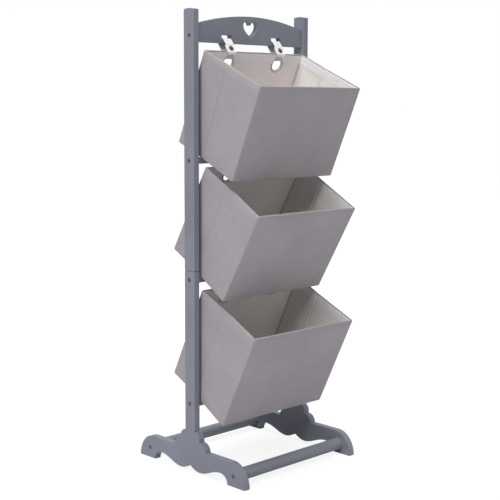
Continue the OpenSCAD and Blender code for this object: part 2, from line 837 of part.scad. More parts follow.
placed() stud_rings(2);  // bottom_stud_rings
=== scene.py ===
import math

import bmesh
import bpy
from mathutils import Matrix, Vector, noise


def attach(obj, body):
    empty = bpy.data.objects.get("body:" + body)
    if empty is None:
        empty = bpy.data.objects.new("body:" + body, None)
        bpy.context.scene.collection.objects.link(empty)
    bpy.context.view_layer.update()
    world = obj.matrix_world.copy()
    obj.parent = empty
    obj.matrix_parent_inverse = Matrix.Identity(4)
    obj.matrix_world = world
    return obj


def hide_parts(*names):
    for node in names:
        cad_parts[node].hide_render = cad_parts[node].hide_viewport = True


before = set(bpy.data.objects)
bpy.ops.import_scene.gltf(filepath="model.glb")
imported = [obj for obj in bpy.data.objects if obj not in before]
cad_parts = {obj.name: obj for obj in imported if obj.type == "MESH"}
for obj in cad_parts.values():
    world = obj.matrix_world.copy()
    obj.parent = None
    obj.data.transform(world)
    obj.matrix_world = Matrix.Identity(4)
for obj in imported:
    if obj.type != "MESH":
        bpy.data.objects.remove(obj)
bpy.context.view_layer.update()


# ---- Painted wood: feet, posts, rails and stretchers --------------------------------------
# Softwood and board, cut on a router and a lathe, sanded so that every edge is eased, and
# sprayed with a satin grey paint that hides the grain but lies a little unevenly.

def linear(hex_code):
    """An sRGB hex colour as linear red, green, blue and alpha."""
    parts = [int(hex_code[i:i + 2], 16) / 255 for i in (1, 3, 5)]
    return [c / 12.92 if c <= 0.04045 else ((c + 0.055) / 1.055) ** 2.4 for c in parts] + [1.0]


def add_node(tree, kind, values=None, links=None, **settings):
    """Adds a shader node with its settings, its input values and the outputs that feed it."""
    made = tree.nodes.new("ShaderNode" + kind)
    for name, value in settings.items():
        setattr(made, name, value)
    for name, value in (values or {}).items():
        made.inputs[name].default_value = value
    for name, source in (links or {}).items():
        tree.links.new(source, made.inputs[name])
    return made


def new_material(name, colour, roughness, metallic=0.0, ior=1.45):
    """A material with its Principled shader, and the node tree to dress it in."""
    made = bpy.data.materials.new(name)
    made.use_nodes = True
    shader = made.node_tree.nodes["Principled BSDF"]
    shader.inputs["Base Color"].default_value = linear(colour)
    shader.inputs["Roughness"].default_value = roughness
    shader.inputs["Metallic"].default_value = metallic
    shader.inputs["IOR"].default_value = ior
    made.diffuse_color = linear(colour)
    return made, made.node_tree, shader


def toned(tree, factor, *stops):
    """A colour ramp from (place, hex colour) stops."""
    ramp = add_node(tree, "ValToRGB", links={"Fac": factor})
    while len(ramp.color_ramp.elements) < len(stops):
        ramp.color_ramp.elements.new(0.5)
    for element, (place, colour) in zip(ramp.color_ramp.elements, stops):
        element.position = place
        element.color = linear(colour)
    return ramp.outputs["Color"]


# Satin alkyd paint: an even blue-grey whose coats lie slightly unevenly, so that its gloss and
# tone wander a little over some 110 mm, with the 1.5 mm stipple of the spray gun
paint, tree, shader = new_material("satin_grey_paint_on_wood", "#7D808B", 0.46)
place = add_node(tree, "TexCoord").outputs["Object"]
coats = add_node(tree, "TexNoise", {"Scale": 9.0, "Detail": 3.0}, {"Vector": place})
tone = toned(tree, coats.outputs["Fac"], (0.3, "#777A85"), (0.7, "#81848F"))
tree.links.new(tone, shader.inputs["Base Color"])
stipple = add_node(tree, "TexNoise", {"Scale": 650.0, "Detail": 2.0}, {"Vector": place})
bump = add_node(tree, "Bump", {"Strength": 0.25, "Distance": 0.0002},
                {"Height": stipple.outputs["Fac"]})
tree.links.new(bump.outputs["Normal"], shader.inputs["Normal"])
gloss = add_node(tree, "MapRange", {"To Min": 0.4, "To Max": 0.54}, {"Value": coats.outputs["Fac"]})
tree.links.new(gloss.outputs["Result"], shader.inputs["Roughness"])

# Width that each piece's edges are eased by, in metres
eased_edge = {"left_foot": 0.0016, "right_foot": 0.0016, "arched_rail": 0.0014,
              "left_lower_post": 0.0005, "right_lower_post": 0.0005,
              "left_upper_post": 0.0008, "right_upper_post": 0.0008,
              "high_slat": 0.0004, "middle_slat": 0.0004, "low_slat": 0.0004,
              "front_stretcher": 0.0004, "rear_stretcher": 0.0004}
sharp_edge, smooth_surface = math.radians(40), math.radians(38)
weld, flat_join = 0.000002, math.radians(0.5)


def only(piece):
    """Selects one object and nothing else, and makes it active."""
    bpy.ops.object.select_all(action="DESELECT")
    piece.select_set(True)
    bpy.context.view_layer.objects.active = piece


def finish_with(piece, kind, **settings):
    """Adds a modifier and applies it."""
    only(piece)
    made = piece.modifiers.new(kind.lower(), kind)
    for name, value in settings.items():
        setattr(made, name, value)
    bpy.ops.object.modifier_apply(modifier=made.name)


def copy_of(node, name):
    """A copy of a CAD node, to be dressed in its place."""
    made = bpy.data.objects.new(name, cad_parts[node].data.copy())
    bpy.context.collection.objects.link(made)
    return made


def coat(piece, material):
    """Gives an object one material in place of those it has."""
    piece.data.materials.clear()
    piece.data.materials.append(material)


# The rail's heart is cut by hand: taller than the CAD's, fuller in its lower half and further
# to the left. First its top, its height, and how far from the middle and how far above and
# below it, as a share of its height, nothing else of the rail lies. Then the three changes.
heart_top, heart_h, heart_near, heart_margin = 1.009, 0.037, 0.026, 0.05
heart_taller, heart_fuller, heart_shift = 1.08, 0.2, 0.003

for wood, width in eased_edge.items():
    piece = copy_of(wood, "painted_" + wood)
    for v in piece.data.vertices if wood == "arched_rail" else ():
        share = (heart_top - v.co.z) / heart_h
        if abs(v.co.x) < heart_near and -heart_margin < share < 1 + heart_margin:
            lower_half = max(0.0, math.sin(2 * math.pi * (min(1.0, share) - 0.5)))
            v.co.x *= 1 + heart_fuller * lower_half
            v.co.x -= heart_shift
            v.co.z = heart_top - (heart_top - v.co.z) * heart_taller
    # Triangles in one plane are joined again, so that only real edges are eased
    only(piece)
    bpy.ops.object.mode_set(mode="EDIT")
    bpy.ops.mesh.select_all(action="SELECT")
    bpy.ops.mesh.remove_doubles(threshold=weld)
    bpy.ops.mesh.customdata_custom_splitnormals_clear()
    bpy.ops.mesh.dissolve_limited(angle_limit=flat_join)
    bpy.ops.object.mode_set(mode="OBJECT")
    finish_with(piece, "BEVEL", width=width, segments=3, limit_method="ANGLE",
                angle_limit=sharp_edge)
    bpy.ops.object.shade_smooth_by_angle(angle=smooth_surface)
    finish_with(piece, "WEIGHTED_NORMAL", keep_sharp=True)
    coat(piece, paint)
    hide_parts(wood)
    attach(piece, "rack")


# ---- Dowels, bolts and barrel nuts -------------------------------------------------------
# Turned beech dowels inside the foot and post joints. The bolts are zinc-plated steel with a
# hexagon socket, sunk in counterbores on the outer faces; their nuts lie across the rails.

# Bare turned beech: pale and warm, with darker flecks of 1 mm drawn out along the dowel
beech, tree, shader = new_material("turned_beech", "#C9A877", 0.55)
place = add_node(tree, "TexCoord").outputs["Object"]
along = add_node(tree, "Mapping", {"Scale": (1.0, 1.0, 0.08)}, {"Vector": place})
grain = add_node(tree, "TexNoise", {"Scale": 900.0, "Detail": 3.0},
                 {"Vector": along.outputs["Vector"]})
tone = toned(tree, grain.outputs["Fac"], (0.0, "#B8935F"), (1.0, "#D6B98C"))
tree.links.new(tone, shader.inputs["Base Color"])

# Zinc plate on steel: a dull grey metal that clouds over in patches of about 3 mm
zinc, tree, shader = new_material("zinc_plated_steel", "#77787C", 0.38, metallic=1.0, ior=1.5)
place = add_node(tree, "TexCoord").outputs["Object"]
patches = add_node(tree, "TexNoise", {"Scale": 300.0, "Detail": 4.0}, {"Vector": place})
dull = add_node(tree, "MapRange", {"To Min": 0.3, "To Max": 0.5}, {"Value": patches.outputs["Fac"]})
tree.links.new(dull.outputs["Result"], shader.inputs["Roughness"])


def refinish(material, *nodes):
    """Gives CAD nodes that stay as they are their real material."""
    for node in nodes:
        coat(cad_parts[node], material)


refinish(beech, "foot_dowels", "joint_dowels")
refinish(zinc, "rail_bolts", "rail_nuts", "stretcher_bolts", "stretcher_nuts")


# ---- Cloth of the baskets ----------------------------------------------------------------
# A heavy plain-woven cotton and linen mix outside, and a lighter plain cotton inside, which
# also makes the hem. Slubs in the yarn give both faint streaks along the two thread directions.

thread_pitch = 0.0011    # drawn at twice the real 0.55 mm, so that it shows in a close view
slub_length, slub_width = 0.030, 0.0022
waves_per_metre = 3.1831     # of a wave texture at scale 1: 20 radians a metre
stitch_pitch = 0.0035
stitch_level, stitch_band = 0.84, 0.025    # shares of the hem's depth: place, half a thread


def woven_cloth(name, colour, dark, light, bump_depth, pressed_tone, stitched=False):
    """A woven cloth whose threads follow the piece's own UV map, which is laid out in metres."""
    made, tree, shader = new_material(name, colour, 0.92, ior=1.5)
    shader.inputs["Sheen Weight"].default_value = 0.1
    shader.inputs["Sheen Roughness"].default_value = 0.6
    shader.inputs["Specular IOR Level"].default_value = 0.2
    uv = add_node(tree, "UVMap", uv_map="cloth").outputs["UV"]
    streaks = []
    for scale in ((1 / slub_length, 1 / slub_width, 1.0), (1 / slub_width, 1 / slub_length, 1.0)):
        laid = add_node(tree, "Mapping", {"Scale": scale}, {"Vector": uv})
        slubs = add_node(tree, "TexNoise", {"Scale": 1.0, "Detail": 3.0, "Roughness": 0.6},
                         {"Vector": laid.outputs["Vector"]})
        streaks.append(slubs.outputs["Fac"])
    both = add_node(tree, "Math", {}, {0: streaks[0], 1: streaks[1]}, operation="ADD")
    # Uneven dyeing, in blotches of about 90 mm
    blotches = add_node(tree, "TexNoise", {"Scale": 11.0, "Detail": 2.0}, {"Vector": uv})
    total = add_node(tree, "Math", {}, {0: both.outputs[0], 1: blotches.outputs["Fac"]},
                     operation="ADD")
    spread = add_node(tree, "MapRange", {"From Min": 1.1, "From Max": 1.9},
                      {"Value": total.outputs[0]})
    tone = toned(tree, spread.outputs["Result"], (0.0, dark), (1.0, light))
    # Warp and weft: two crossed sine waves of two threads each, one up where the other is down
    waves = []
    for direction in ("X", "Y"):
        wave = add_node(tree, "TexWave",
                        {"Scale": 1 / (thread_pitch * 2) / waves_per_metre, "Distortion": 0.0},
                        {"Vector": uv}, wave_type="BANDS", bands_direction=direction,
                        wave_profile="SIN")
        waves.append(wave.outputs["Fac"])
    weave = add_node(tree, "Math", {}, {0: waves[0], 1: waves[1]}, operation="MULTIPLY")
    shade = add_node(tree, "MapRange", {"To Min": 0.94, "To Max": 1.04},
                     {"Value": weave.outputs[0]})
    # Painted shade: folds and corners are darkened where the piece's own attribute says so
    folds = add_node(tree, "Attribute", attribute_name="pressed", attribute_type="GEOMETRY")
    shaded = add_node(tree, "MapRange", {"To Min": 1.0, "To Max": pressed_tone},
                    {"Value": folds.outputs["Fac"]})
    dimmed = add_node(tree, "Math", {}, {0: shade.outputs["Result"], 1: shaded.outputs["Result"]},
                      operation="MULTIPLY")
    relief = add_node(tree, "Math", {}, {0: weave.outputs[0], 1: both.outputs[0]}, operation="ADD")
    dimming, height = dimmed.outputs[0], relief.outputs[0]
    if stitched:
        # Lockstitch along the hem: the attribute runs from 0 at the rim to 1 at its lower edge
        level = add_node(tree, "Attribute", attribute_name="hem_level", attribute_type="GEOMETRY")
        near = add_node(tree, "Math", {1: stitch_level, 2: stitch_band}, {0: level.outputs["Fac"]},
                        operation="COMPARE")
        apart = add_node(tree, "SeparateXYZ", links={"Vector": uv})
        step = add_node(tree, "Math", {1: 1 / stitch_pitch}, {0: apart.outputs["X"]},
                        operation="MULTIPLY")
        part = add_node(tree, "Math", {}, {0: step.outputs[0]}, operation="FRACT")
        laid = add_node(tree, "Math", {1: 0.5, 2: 0.36}, {0: part.outputs[0]}, operation="COMPARE")
        thread = add_node(tree, "Math", {}, {0: near.outputs[0], 1: laid.outputs[0]},
                          operation="MULTIPLY")
        darker = add_node(tree, "MapRange", {"To Min": 1.0, "To Max": 0.86},
                          {"Value": thread.outputs[0]})
        dimmed = add_node(tree, "Math", {}, {0: dimming, 1: darker.outputs["Result"]},
                          operation="MULTIPLY")
        relief = add_node(tree, "Math", {}, {0: height, 1: thread.outputs[0]}, operation="ADD")
        dimming, height = dimmed.outputs[0], relief.outputs[0]
    mixed = add_node(tree, "VectorMath", {}, {0: tone, 1: dimming}, operation="MULTIPLY")
    tree.links.new(mixed.outputs["Vector"], shader.inputs["Base Color"])
    bump = add_node(tree, "Bump", {"Strength": 0.5, "Distance": bump_depth}, {"Height": height})
    tree.links.new(bump.outputs["Normal"], shader.inputs["Normal"])
    return made


# The last number of each cloth is how far painted shade darkens it in its folds and corners
outer_cloth = woven_cloth("grey_linen_mix_cloth", "#A19CA1", "#9B969B", "#A7A2A7", 0.00025, 0.62)
lining_cloth = woven_cloth("pale_cotton_lining", "#E9E4E2", "#E3DDDA", "#EFEAE8", 0.0002, 0.68)
hem_cloth = woven_cloth("pale_cotton_hem", "#EAE7E9", "#E4E1E3", "#F0EDEF", 0.0002, 0.96,
                        stitched=True)


# ---- Basket covers, linings and hems -----------------------------------------------------
# Each basket is a cloth box over stiff boards: the cover turns in over the rim, where the hem of
# the paler lining is sewn over its end. Both side panels fold inwards along one upright line,
# where the boards have a gap, so that the basket packs flat. Two holes take the eyelets.

basket_names = ("top", "middle", "bottom")     # three values in a row below are in this order
basket_w, basket_d = 0.307, 0.197
wall_height = (0.213, 0.217, 0.228)
tilt = [math.radians(a) for a in (23.2, 29.8, 25.6)]
rim_place = ((-0.00846517, 0.937666), (-0.0134652, 0.688172), (-0.00146517, 0.414973))
eyelet_x, eyelet_drop, hole_radius = 0.077, 0.024, 0.0175
wall = 0.004             # cover, board and lining together

lining_inset, hem_inset, hem_depth = 0.0037, 0.0048, 0.022
cover_thickness, lining_thickness, hem_thickness = 0.0009, 0.0005, 0.0008
# How far in and how much higher each turn of the cloth lies, over the rim and down inside
cover_turns = ((0.0006, 0.0010), (0.0014, 0.0005), (0.0028, 0.0), (0.0036, -0.0004),
               (0.0040, -0.0008), (0.0041, -0.0012))
hem_turns = ((0.0047, 0.0005), (0.0044, 0.0003), (0.0041, 0.0001))

# The fold of the side panels: its place, how far it is pushed in, how far its line runs forward
# from the rim to the base, fading within so many mm, and how dark painted shade makes each
# basket's crease
fold_y, fold_in = -0.4 * basket_d, 0.003
fold_slant, slant_fade = 0.008, 50
crease_shade = (0.8, 0.25, 0.25)
# The crease along it: outside its depth and half width in mm, inside a ridge and the groove
# beside it, each with its height, its place and its width in mm
crease_depth, crease_half = 0.0010, 3.5
inner_crease = ((0.0014, 0.6, 1.7), (-0.0008, -2.6, 1.2))

# The shape that use has given them: shares by which they stand wider at the rear and the front,
# metres askew in front, the rear rim's lift, the hem's rise over the rim, and the base's sag in
# front and beside the straps
rear_spread, front_spread = 0.01, (0.032, 0.016, 0.042)
askew = (0.002, 0.004, 0.0050)
rear_lift = (0.003, 0.0, 0.0)
hem_peek = (0.0012, 0.0040, 0.0036)
sag, side_sag = (0.0045, 0.0040, 0.0038), (0.0019, 0.0019, 0.0)
strap_clear = 0.095      # beyond this from the middle, the base hangs clear of the straps below
# How far the front stands out, and how much the cloth wavers in front, at the sides and along
# the rim, which is also a little higher than its boards
proud_front, soft_front, soft_side = 0.0012, 0.0004, 0.0005
rim_wave, rim_rise, rim_band = 0.0005, 0.0003, 0.05
soft_scale, wave_scale = 13, 16        # they waver over about 75 and 60 mm
side_strip = 0.006       # cloth this near to the side panel's plane moves with it


def hung(i):
    """The move from a basket's own upright frame, rim at zero and back at zero, to its place."""
    return Matrix.Translation((0, *rim_place[i])) @ Matrix.Rotation(tilt[i], 4, "X")


def pick(piece, kind, wanted):
    """In edit mode, selects the vertices, edges or faces that pass a test, and nothing else."""
    bpy.ops.mesh.select_all(action="DESELECT")
    bpy.ops.mesh.select_mode(type=kind)
    mesh = bmesh.from_edit_mesh(piece.data)
    for item in {"VERT": mesh.verts, "EDGE": mesh.edges, "FACE": mesh.faces}[kind]:
        if wanted(item):
            item.select_set(True)
    bmesh.update_edit_mesh(piece.data)


def cut(places, normal):
    """In edit mode, cuts the whole piece by planes at the given places along one direction."""
    for place in places:
        bpy.ops.mesh.select_all(action="SELECT")
        bpy.ops.mesh.bisect(plane_co=Vector(normal) * place, plane_no=normal)


half_cuts_x, half_cuts_y = 8, 6
beside_fold = (-0.005, -0.0026, -0.0012, 0, 0.0012, 0.0026, 0.005)
fold_gap = 0.009         # no other cut comes nearer to the fold than this


def cloth_box(name, inset, top, foot, round_up, round_base, rows, profile=0.5):
    """The walls of a box of cloth, with its floor if that has a round edge, cut to be shaped."""
    width, depth = basket_w - 2 * inset, basket_d - 2 * inset
    bpy.ops.object.select_all(action="DESELECT")
    bpy.ops.mesh.primitive_cube_add(size=1, location=(0, -basket_d / 2, (top + foot) / 2))
    piece = bpy.context.object
    piece.name = piece.data.name = name
    piece.scale = (width, depth, top - foot)
    bpy.ops.object.transform_apply(location=True, rotation=True, scale=True)
    bpy.ops.object.mode_set(mode="EDIT")
    pick(piece, "FACE", lambda face: face.normal.z > 0.9
         or (face.normal.z < -0.9 and not round_base))
    bpy.ops.mesh.delete(type="ONLY_FACE")
    pick(piece, "EDGE", lambda edge:
         abs(edge.verts[0].co.z - edge.verts[1].co.z) > (top - foot) / 2)
    bpy.ops.mesh.bevel(offset=round_up, segments=6, affect="EDGES", profile=profile)
    if round_base:
        pick(piece, "EDGE", lambda edge: all(v.co.z < foot + 0.0001 for v in edge.verts)
             and any(abs(face.normal.z) < 0.5 for face in edge.link_faces))
        bpy.ops.mesh.bevel(offset=round_base, segments=3, affect="EDGES")
    inner_x, inner_y = width / 2 - round_up, depth / 2 - round_up
    cut([inner_x * (k / half_cuts_x - 1) for k in range(1, 2 * half_cuts_x)], (1, 0, 0))
    ys = [-basket_d / 2 + inner_y * (k / half_cuts_y - 1) for k in range(1, 2 * half_cuts_y)]
    ys = [y for y in ys if abs(y - fold_y) > fold_gap]
    cut(ys + [fold_y + s for s in beside_fold], (0, 1, 0))
    cut([top + (foot - top) * k / rows for k in range(1, rows)], (0, 0, 1))
    bpy.ops.object.mode_set(mode="OBJECT")
    return piece


def sprung(y, i):
    """How much wider the sides stand at a depth y, and how far the basket is askew there."""
    forward = min(1.0, max(0.0, -y / basket_d))
    return 1 + rear_spread + (front_spread[i] - rear_spread) * forward, askew[i] * forward


def drape(co, i, inset, outside):
    """Where a point of a basket's cloth comes to lie: folded sides, soft panels, uneven rim."""
    x, y, z = co
    half = basket_w / 2 - inset
    down = min(1.0, max(0.0, -z / wall_height[i]))
    at_side = max(0.0, 1 - (half - abs(x)) / side_strip)
    off_mm = (y - fold_y) * 1000
    y -= fold_slant * down * at_side * max(0.0, 1 - abs(off_mm) / slant_fade)
    # The stiff halves of a side panel lean in to the fold, and the cloth is creased along it
    reach = -fold_y if y > fold_y else basket_d + fold_y
    fold = fold_in * max(0.0, 1 - abs(y - fold_y) / reach)
    if outside:
        crease = crease_depth * max(0.0, 1 - abs(off_mm) / crease_half) ** 2 * min(1.0, down * 8)
    else:
        crease = sum(rise * math.exp(-((off_mm - at) / width) ** 2)
                     for rise, at, width in inner_crease)
        crease *= min(1.0, down * 12)
    x -= math.copysign((fold * abs(x) / half) + crease * at_side, x)
    # The front panel and the front half of the sides stand a little proud of their boards
    across = 1 - min(1.0, (x / half) ** 2)
    deep = math.sin(math.pi * down)
    front = max(0.0, min(1.0, (fold_y - y) / (basket_d + fold_y)))
    somewhere = Vector((x * soft_scale, y * soft_scale, z * soft_scale + i * 7.3))
    soft = noise.noise(somewhere) * deep * front
    proud = 1 if outside else -1
    y -= proud * (proud_front * across * deep * front + soft_front * soft)
    x += proud * math.copysign(soft_side * soft, x)
    # The rim waves slightly and stands higher in places, and the cover's base sags in front
    near_rim = max(0.0, 1 + z / rim_band)
    wave = noise.noise(Vector((x * wave_scale, y * wave_scale, i * 5.1)))
    lift = rear_lift[i] * (1 + y / basket_d)
    z += near_rim * (rim_wave * (wave + across * front) + rim_rise + lift)
    if outside:
        beside = max(0.0, min(1.0, (abs(x) - strap_clear) / 0.04))
        z -= (sag[i] * front + side_sag[i] * beside * (1 - front)) * down ** 3
    wider, twist = sprung(y, i)
    return Vector((x * wider - twist, y, z))


def mark_painted_shade(piece, i, inset, outside):
    """Marks how much painted shade each point of the cloth gets, and how deep it lies in the hem.
    """
    pressed = piece.data.attributes.new("pressed", "FLOAT", "POINT")
    hem_level = piece.data.attributes.new("hem_level", "FLOAT", "POINT")
    half = basket_w / 2 - inset
    for v in piece.data.vertices:
        x, y, z = v.co
        wider, twist = sprung(y, i)
        x = (x + twist) / wider
        down = min(1.0, max(0.0, -z / wall_height[i]))
        off_mm = (y + fold_slant * down - fold_y) * 1000
        at_side = max(0.0, 1 - (half - abs(x) - fold_in) / 0.004)
        if outside:
            # Painted shade: a line 1.3 mm to each side of the fold, stopping short of rim and base
            amount = max(0.0, 1 - abs(off_mm) / 1.3) * min(1.0, down * 7)
            amount *= min(1.0, (1 - down) * 7) * at_side * crease_shade[i]
        else:
            # Painted shade, 1.2 mm wide in the corners and fading over 3 mm more, and in the fold's
            # groove
            corner = math.hypot(half - abs(x), min(abs(y + inset), abs(y + basket_d - inset)))
            amount = max(0.0, min(1.0, 1 - (corner - 0.0012) / 0.003))
            amount = max(amount, 0.8 * max(0.0, 1 - abs(off_mm + 2.8) / 1.4) * at_side)
        pressed.data[v.index].value = amount
        hem_level.data[v.index].value = min(1.0, -z / hem_depth)


def turn_over(piece, inset, turns):
    """Carries the top edge on over the rim by extruding it to one turn after another."""
    pick(piece, "EDGE", lambda edge: edge.is_boundary and all(v.co.z > -0.006 for v in edge.verts))
    for next_inset, rise in turns:
        bpy.ops.mesh.extrude_region_move(TRANSFORM_OT_translate={"value": (0, 0, rise)})
        bpy.ops.transform.resize(value=((basket_w / 2 - next_inset) / (basket_w / 2 - inset),
                                        (basket_d / 2 - next_inset) / (basket_d / 2 - inset), 1),
                                 center_override=(0, -basket_d / 2, 0))
        inset = next_inset


def face_out(piece):
    """Turns all faces of an open box so that its walls face away from its middle."""
    bpy.ops.mesh.select_all(action="SELECT")
    bpy.ops.mesh.normals_make_consistent(inside=False)
    mesh = bmesh.from_edit_mesh(piece.data)
    walls = [face for face in mesh.faces if abs(face.normal.z) < 0.5]
    middle = Vector((0, -basket_d / 2, 0))
    if sum(face.normal.dot(face.calc_center_median() - middle) for face in walls) < 0:
        bpy.ops.mesh.flip_normals()


def lay_uv(piece, i):
    """Lays a UV map in metres over a box-shaped cloth: each face is seen along its main normal."""
    mesh = piece.data
    layer = mesh.uv_layers.get("cloth") or mesh.uv_layers.new(name="cloth")
    for face in mesh.polygons:
        n = face.normal
        flat = max(range(3), key=lambda axis: abs(n[axis]))
        u, v = ((1, 2), (0, 2), (0, 1))[flat]
        for corner in face.loop_indices:
            co = mesh.vertices[mesh.loops[corner].vertex_index].co
            # Each basket is cut from another place of the cloth
            layer.data[corner].uv = (co[u] + 0.7 * i, co[v] + 0.31 * i)


def dress(piece, i, inset, outside, material, slot, *nodes):
    """Punches the eyelet holes, lays the weave, hangs the piece and hands it to its body."""
    finish_with(piece, "BOOLEAN", object=punch, operation="DIFFERENCE", solver="EXACT")
    lay_uv(piece, i)
    # Painted shade in the folds and corners
    mark_painted_shade(piece, i, inset, outside)
    piece.data.transform(hung(i))
    only(piece)
    bpy.ops.object.shade_smooth_by_angle(angle=math.radians(50))
    coat(piece, material)
    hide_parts(*nodes)
    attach(piece, basket_names[i] + "_basket")


# A punch with two round cutters makes the eyelet holes
bpy.ops.object.select_all(action="DESELECT")
bpy.ops.mesh.primitive_cylinder_add(vertices=64, radius=hole_radius, depth=0.014,
                                    location=(-eyelet_x, -wall / 2, -eyelet_drop),
                                    rotation=(math.pi / 2, 0, 0))
punch = bpy.context.object
bpy.ops.object.transform_apply(location=True, rotation=True, scale=True)
bpy.ops.object.mode_set(mode="EDIT")
bpy.ops.mesh.select_all(action="SELECT")
bpy.ops.mesh.duplicate_move(TRANSFORM_OT_translate={"value": (2 * eyelet_x, 0, 0)})
bpy.ops.object.mode_set(mode="OBJECT")

for i, name in enumerate(basket_names):
    height = wall_height[i]
    # Cover: the outer shell, turned over the rim and down inside to the seam
    cover = cloth_box(name + "_cloth_cover", 0.0, top=-0.0016, foot=-height, round_up=0.0035,
                      round_base=0.0025, rows=12)
    for v in cover.data.vertices:
        v.co = drape(v.co, i, 0.0, True)
    only(cover)
    bpy.ops.object.mode_set(mode="EDIT")
    turn_over(cover, 0.0, cover_turns)
    face_out(cover)
    bpy.ops.object.mode_set(mode="OBJECT")
    finish_with(cover, "SOLIDIFY", thickness=cover_thickness, offset=-1)
    dress(cover, i, 0.0, True, outer_cloth, "outer_cloth", name + "_cover")

    # Lining: its visible side is the inner one, so its thickness goes outwards
    lining = cloth_box(name + "_cloth_lining", lining_inset, top=-0.018, foot=0.0047 - height,
                       round_up=0.0045, round_base=0.003, rows=12, profile=0.8)
    for v in lining.data.vertices:
        v.co = drape(v.co, i, lining_inset, False)
    only(lining)
    bpy.ops.object.mode_set(mode="EDIT")
    face_out(lining)
    bpy.ops.object.mode_set(mode="OBJECT")
    finish_with(lining, "SOLIDIFY", thickness=lining_thickness, offset=1)
    dress(lining, i, lining_inset, False, lining_cloth, "lining_cloth", name + "_lining")

    # Hem: the doubled upper edge of the lining, whose folded top lies over the cover's raw end
    hem = cloth_box(name + "_cloth_hem", hem_inset, top=-0.0034, foot=-hem_depth,
                    round_up=0.0042, round_base=0, rows=4, profile=0.8)
    for v in hem.data.vertices:
        v.co = drape(v.co, i, hem_inset, False)
        # In front of the fold the hem shows above the cover, but not towards the right
        before_fold = max(0.0, min(1.0, (fold_y - v.co.y) / 0.03))
        leftwards = max(0.0, min(1.0, (0.125 - v.co.x) / 0.08))
        v.co.z += hem_peek[i] * before_fold * leftwards * max(0.0, 1 + v.co.z / 0.012)
    only(hem)
    bpy.ops.object.mode_set(mode="EDIT")
    turn_over(hem, hem_inset, hem_turns)
    face_out(hem)
    bpy.ops.object.mode_set(mode="OBJECT")
    finish_with(hem, "SOLIDIFY", thickness=hem_thickness, offset=1)
    dress(hem, i, hem_inset, False, hem_cloth, "lining_cloth", name + "_lining")

bpy.data.objects.remove(punch)


# ---- Boards inside the cloth -------------------------------------------------------------
# Smooth brown fibreboard in the pockets between cover and lining: a base, a front and a back
# board, and two halves a side. The side boards are copies that follow the sprung sides.

# Fibreboard: an even brown, flecked at about 2 mm by its pressed fibres
fibreboard, tree, shader = new_material("smooth_fibreboard", "#B59A72", 0.7)
place = add_node(tree, "TexCoord").outputs["Object"]
flecks = add_node(tree, "TexNoise", {"Scale": 500.0, "Detail": 3.0}, {"Vector": place})
tone = toned(tree, flecks.outputs["Fac"], (0.35, "#A68A62"), (0.65, "#C0A67F"))
tree.links.new(tone, shader.inputs["Base Color"])
for i, name in enumerate(basket_names):
    refinish(fibreboard, *[name + part for part in ("_base_board", "_front_board", "_back_board")])
    boards = copy_of(name + "_side_boards", name + "_sprung_side_boards")
    upright = hung(i).inverted()
    for v in boards.data.vertices:
        wider, twist = sprung((upright @ v.co).y, i)
        v.co.x = v.co.x * wider - twist
    coat(boards, fibreboard)
    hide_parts(name + "_side_boards")
    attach(boards, name + "_basket")


# ---- Eyelets and press studs -------------------------------------------------------------
# Pressed and plated brass: each eyelet is a pale rolled ring closed over the back wall by an
# outer lip, and each stud is a dark domed cap clenched through both strap layers.

def plated(name, dark, light, roughness):
    """Plated brass whose metal is rubbed lighter and duller in patches of about 4 mm."""
    made, tree, shader = new_material(name, dark, roughness, metallic=0.85, ior=1.5)
    place = add_node(tree, "TexCoord").outputs["Object"]
    rubbing_and_shade = add_node(tree, "TexNoise", {"Scale": 260.0, "Detail": 3.0}, {"Vector": place})
    tone = toned(tree, rubbing_and_shade.outputs["Fac"], (0.35, dark), (0.75, light))
    tree.links.new(tone, shader.inputs["Base Color"])
    haze = add_node(tree, "MapRange", {"To Min": roughness - 0.08, "To Max": roughness + 0.1},
                    {"Value": rubbing_and_shade.outputs["Fac"]})
    tree.links.new(haze.outputs["Result"], shader.inputs["Roughness"])
    return made


# Nickel plate keeps a warm, pale grey shine; antique bronze plate is nearly black
eyelet_metal = plated("nickel_plated_eyelet", "#A8A19C", "#C6C0BB", 0.42)
stud_metal = plated("bronze_plated_stud", "#463E3A", "#5C524C", 0.42)
for name in basket_names:
    refinish(eyelet_metal, name + "_eyelets", name + "_eyelet_lips")
    refinish(stud_metal, name + "_stud_caps", name + "_stud_rings")


# ---- Straps ------------------------------------------------------------------------------
# Flat white cotton webbing, one length per strap: from its inner end down into the eyelet,
# where it is drawn narrow with two shallow pleats and bends with the ring, then up behind, over
# the bar and down in front as the studded tail.

# Ribs run across the webbing and finer yarns along it, both drawn at twice their real pitch
rib_pitch, yarn_pitch = 0.0032, 0.0022
webbing, tree, shader = new_material("white_cotton_webbing", "#EFEDEE", 0.85, ior=1.5)
shader.inputs["Sheen Weight"].default_value = 0.1
uv = add_node(tree, "UVMap", uv_map="webbing").outputs["UV"]
ribs = add_node(tree, "TexWave", {"Scale": 1 / rib_pitch / waves_per_metre, "Distortion": 0.4,
                                  "Detail": 1.0},
                {"Vector": uv}, wave_type="BANDS", bands_direction="Y", wave_profile="SIN")
yarns = add_node(tree, "TexWave", {"Scale": 1 / yarn_pitch / waves_per_metre, "Distortion": 0.3,
                                   "Detail": 1.0},
                 {"Vector": uv}, wave_type="BANDS", bands_direction="X", wave_profile="SIN")
woven = add_node(tree, "Math", {}, {0: ribs.outputs["Fac"], 1: yarns.outputs["Fac"]},
                 operation="ADD")
spread = add_node(tree, "MapRange", {"From Max": 2.0}, {"Value": woven.outputs[0]})
tape = toned(tree, spread.outputs["Result"], (0.0, "#E2DFE0"), (0.7, "#F1EFF0"))
